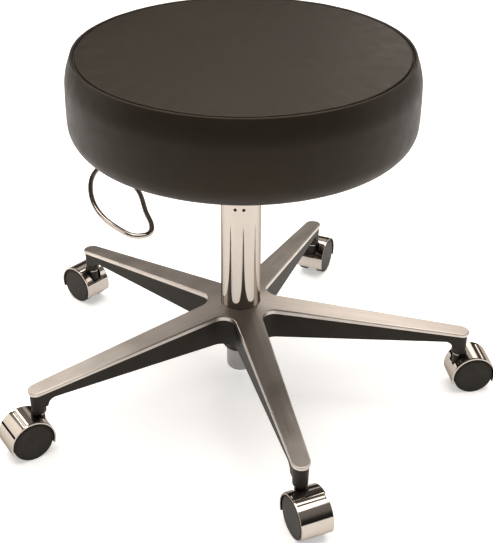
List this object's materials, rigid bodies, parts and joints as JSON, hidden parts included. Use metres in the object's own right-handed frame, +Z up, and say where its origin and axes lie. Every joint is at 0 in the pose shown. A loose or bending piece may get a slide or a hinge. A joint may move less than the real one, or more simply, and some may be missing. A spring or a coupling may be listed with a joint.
{
  "type": "dentist stool",
  "caption": "Round backless clinic stool with gas height adjustment, a wire release lever under the seat, and a five-leg cast base on hooded twin-wheel casters.",
  "frame": {"origin": "on the floor under the column's axis, with the seat at its lowest", "axes": "+Z up along the column; +Y away from the viewer of the reference view; the release lever is on the -X side"},
  "size_m": [0.624, 0.6399, 0.463],
  "materials": {
    "vinyl": "satin",
    "foam": "matte",
    "plywood": "matte",
    "dust_cloth": "matte",
    "cast_aluminium": "satin",
    "chrome_plate": "polished",
    "chrome_wire": "polished",
    "grey_steel": "satin",
    "bearing_steel": "gloss",
    "black_steel": "satin",
    "black_plastic": "satin",
    "bush_plastic": "satin",
    "caster_plastic": "satin",
    "wheel_plastic": "matte",
    "black_rubber": "matte"
  },
  "bodies": {
    "base": {"base_casting": "cast_aluminium", "socket_sleeves": "chrome_plate", "column_sleeve": "chrome_plate", "sleeve_adapter": "black_plastic", "column_cap": "black_plastic", "lift_tube": "grey_steel", "guide_bush": "bush_plastic", "thrust_lower_race": "bearing_steel", "thrust_balls": "bearing_steel"},
    "spindle": {"piston_rod": "bearing_steel", "piston": "bush_plastic", "thrust_upper_race": "bearing_steel", "rod_clip": "grey_steel", "bump_stop": "black_rubber"},
    "seat": {"gas_cylinder": "black_steel", "rod_gland": "bush_plastic", "taper_socket": "black_steel", "seat_plate": "black_steel", "lever_pivot_pin": "grey_steel", "seat_top_panel": "vinyl", "seat_side_band": "vinyl", "seat_foam": "foam", "seat_board": "plywood", "seat_t_nuts": "grey_steel", "seat_bolts": "grey_steel", "dust_cover": "dust_cloth", "dust_cover_staples": "grey_steel"},
    "release_lever": {"lever_wire": "chrome_wire", "lever_hub": "black_steel"},
    "valve": {"valve_pin": "bearing_steel"},
    "caster_1": {"caster_1_hood": "chrome_plate", "caster_1_frame": "caster_plastic", "caster_1_stem": "bearing_steel", "caster_1_axle": "bearing_steel"},
    "caster_1_left": {"caster_1_wheel_left": "wheel_plastic"},
    "caster_1_right": {"caster_1_wheel_right": "wheel_plastic"},
    "caster_2": {"caster_2_hood": "chrome_plate", "caster_2_frame": "caster_plastic", "caster_2_stem": "bearing_steel", "caster_2_axle": "bearing_steel"},
    "caster_2_left": {"caster_2_wheel_left": "wheel_plastic"},
    "caster_2_right": {"caster_2_wheel_right": "wheel_plastic"},
    "caster_3": {"caster_3_hood": "chrome_plate", "caster_3_frame": "caster_plastic", "caster_3_stem": "bearing_steel", "caster_3_axle": "bearing_steel"},
    "caster_3_left": {"caster_3_wheel_left": "wheel_plastic"},
    "caster_3_right": {"caster_3_wheel_right": "wheel_plastic"},
    "caster_4": {"caster_4_hood": "chrome_plate", "caster_4_frame": "caster_plastic", "caster_4_stem": "bearing_steel", "caster_4_axle": "bearing_steel"},
    "caster_4_left": {"caster_4_wheel_left": "wheel_plastic"},
    "caster_4_right": {"caster_4_wheel_right": "wheel_plastic"},
    "caster_5": {"caster_5_hood": "chrome_plate", "caster_5_frame": "caster_plastic", "caster_5_stem": "bearing_steel", "caster_5_axle": "bearing_steel"},
    "caster_5_left": {"caster_5_wheel_left": "wheel_plastic"},
    "caster_5_right": {"caster_5_wheel_right": "wheel_plastic"}
  },
  "joints": [
    {"name": "seat_swivel", "type": "hinge", "parent": "base", "child": "spindle", "pos_m": [0, 0, 0.026], "axis": [0, 0, 1], "continuous": true},
    {"name": "seat_height", "type": "slide", "parent": "spindle", "child": "seat", "axis": [0, 0, 1], "range_m": [0, 0.125]},
    {"name": "lever_lift", "type": "hinge", "parent": "seat", "child": "release_lever", "pos_m": [-0.022, 0, 0.344], "axis": [0, 1, 0], "range_deg": [0, 8], "stiffness_Nm_per_rad": 4, "springref_deg": -3.44},
    {"name": "valve_press", "type": "slide", "parent": "seat", "child": "valve", "axis": [0, 0, -1], "range_m": [0, 0.0031]},
    {"name": "caster_1_swivel", "type": "hinge", "parent": "base", "child": "caster_1", "pos_m": [0.10868, 0.26238, 0.051], "axis": [0, 0, 1], "continuous": true},
    {"name": "caster_1_left_roll", "type": "hinge", "parent": "caster_1", "child": "caster_1_left", "pos_m": [0.11594, 0.27907, 0.0254], "axis": [-0.9171, 0.3987, 0], "continuous": true},
    {"name": "caster_1_right_roll", "type": "hinge", "parent": "caster_1", "child": "caster_1_right", "pos_m": [0.11594, 0.27907, 0.0254], "axis": [-0.9171, 0.3987, 0], "continuous": true},
    {"name": "caster_2_swivel", "type": "hinge", "parent": "base", "child": "caster_2", "pos_m": [-0.21596, 0.18444, 0.051], "axis": [0, 0, 1], "continuous": true},
    {"name": "caster_2_left_roll", "type": "hinge", "parent": "caster_2", "child": "caster_2_left", "pos_m": [-0.22959, 0.1965, 0.0254], "axis": [-0.6626, -0.749, 0], "continuous": true},
    {"name": "caster_2_right_roll", "type": "hinge", "parent": "caster_2", "child": "caster_2_right", "pos_m": [-0.22959, 0.1965, 0.0254], "axis": [-0.6626, -0.749, 0], "continuous": true},
    {"name": "caster_3_swivel", "type": "hinge", "parent": "base", "child": "caster_3", "pos_m": [-0.24215, -0.14839, 0.051], "axis": [0, 0, 1], "continuous": true},
    {"name": "caster_3_left_roll", "type": "hinge", "parent": "caster_3", "child": "caster_3_left", "pos_m": [-0.25733, -0.15843, 0.0254], "axis": [0.5519, -0.8339, 0], "continuous": true},
    {"name": "caster_3_right_roll", "type": "hinge", "parent": "caster_3", "child": "caster_3_right", "pos_m": [-0.25733, -0.15843, 0.0254], "axis": [0.5519, -0.8339, 0], "continuous": true},
    {"name": "caster_4_swivel", "type": "hinge", "parent": "base", "child": "caster_4", "pos_m": [0.0663, -0.27615, 0.051], "axis": [0, 0, 1], "continuous": true},
    {"name": "caster_4_left_roll", "type": "hinge", "parent": "caster_4", "child": "caster_4_left", "pos_m": [0.07356, -0.29284, 0.0254], "axis": [0.9171, 0.3987, 0], "continuous": true},
    {"name": "caster_4_right_roll", "type": "hinge", "parent": "caster_4", "child": "caster_4_right", "pos_m": [0.07356, -0.29284, 0.0254], "axis": [0.9171, 0.3987, 0], "continuous": true},
    {"name": "caster_5_swivel", "type": "hinge", "parent": "base", "child": "caster_5", "pos_m": [0.28313, -0.02228, 0.051], "axis": [0, 0, 1], "continuous": true},
    {"name": "caster_5_left_roll", "type": "hinge", "parent": "caster_5", "child": "caster_5_left", "pos_m": [0.30117, -0.01991, 0.0254], "axis": [-0.1305, 0.9914, 0], "continuous": true},
    {"name": "caster_5_right_roll", "type": "hinge", "parent": "caster_5", "child": "caster_5_right", "pos_m": [0.30117, -0.01991, 0.0254], "axis": [-0.1305, 0.9914, 0], "continuous": true}
  ],
  "couplings": [
    {"joint": "valve_press", "follows": "lever_lift", "m_per_rad": 0.022}
  ]
}
